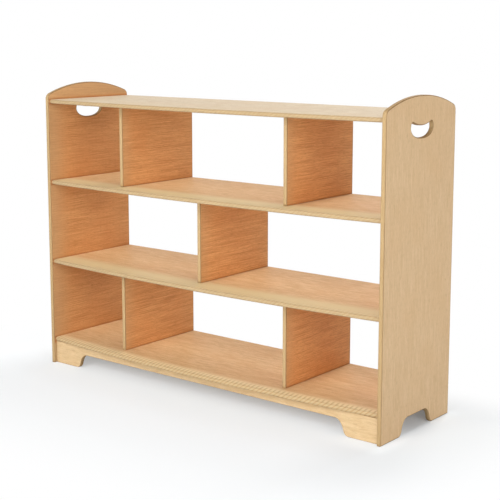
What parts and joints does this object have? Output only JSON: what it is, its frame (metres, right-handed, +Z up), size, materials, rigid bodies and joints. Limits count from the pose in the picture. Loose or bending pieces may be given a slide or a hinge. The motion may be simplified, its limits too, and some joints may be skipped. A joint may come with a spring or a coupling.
{
  "type": "open-back compartment shelf",
  "caption": "Low open-backed plywood shelf with bow-fronted boards, upright dividers, crowned end panels with handle cut-outs and footed base rails.",
  "frame": {"origin": "on the floor, under the middle of the shelf's box", "axes": "+X along the width, -Y to the bowed front, +Z up"},
  "size_m": [1.2, 0.356, 0.86],
  "materials": {
    "end_panel": "clear satin lacquer on birch-faced plywood, grain upright",
    "board": "clear satin lacquer on birch-faced plywood, grain along the board",
    "divider": "clear satin lacquer on birch-faced plywood, grain from front to back",
    "rail": "clear satin lacquer on birch-faced plywood, grain along the rail",
    "dowel": "bare beech"
  },
  "bodies": {
    "root": {"left_end_panel": "end_panel", "right_end_panel": "end_panel", "top_board": "board", "upper_shelf": "board", "lower_shelf": "board", "base_board": "board", "top_divider_left": "divider", "top_divider_right": "divider", "middle_divider": "divider", "bottom_divider_left": "divider", "bottom_divider_right": "divider", "front_rail": "rail", "rear_rail": "rail", "dowel_top_board_left_front": "dowel", "dowel_top_board_left_rear": "dowel", "dowel_top_board_right_front": "dowel", "dowel_top_board_right_rear": "dowel", "dowel_upper_shelf_left_front": "dowel", "dowel_upper_shelf_left_rear": "dowel", "dowel_upper_shelf_right_front": "dowel", "dowel_upper_shelf_right_rear": "dowel", "dowel_lower_shelf_left_front": "dowel", "dowel_lower_shelf_left_rear": "dowel", "dowel_lower_shelf_right_front": "dowel", "dowel_lower_shelf_right_rear": "dowel", "dowel_base_board_left_front": "dowel", "dowel_base_board_left_rear": "dowel", "dowel_base_board_right_front": "dowel", "dowel_base_board_right_rear": "dowel", "dowel_front_rail_left_lower": "dowel", "dowel_front_rail_left_upper": "dowel", "dowel_front_rail_right_lower": "dowel", "dowel_front_rail_right_upper": "dowel", "dowel_rear_rail_left_lower": "dowel", "dowel_rear_rail_left_upper": "dowel", "dowel_rear_rail_right_lower": "dowel", "dowel_rear_rail_right_upper": "dowel", "dowel_top_divider_left_foot_front": "dowel", "dowel_top_divider_left_foot_rear": "dowel", "dowel_top_divider_left_head_front": "dowel", "dowel_top_divider_left_head_rear": "dowel", "dowel_top_divider_right_foot_front": "dowel", "dowel_top_divider_right_foot_rear": "dowel", "dowel_top_divider_right_head_front": "dowel", "dowel_top_divider_right_head_rear": "dowel", "dowel_middle_divider_foot_front": "dowel", "dowel_middle_divider_foot_rear": "dowel", "dowel_middle_divider_head_front": "dowel", "dowel_middle_divider_head_rear": "dowel", "dowel_bottom_divider_left_foot_front": "dowel", "dowel_bottom_divider_left_foot_rear": "dowel", "dowel_bottom_divider_left_head_front": "dowel", "dowel_bottom_divider_left_head_rear": "dowel", "dowel_bottom_divider_right_foot_front": "dowel", "dowel_bottom_divider_right_foot_rear": "dowel", "dowel_bottom_divider_right_head_front": "dowel", "dowel_bottom_divider_right_head_rear": "dowel"}
  },
  "joints": []
}
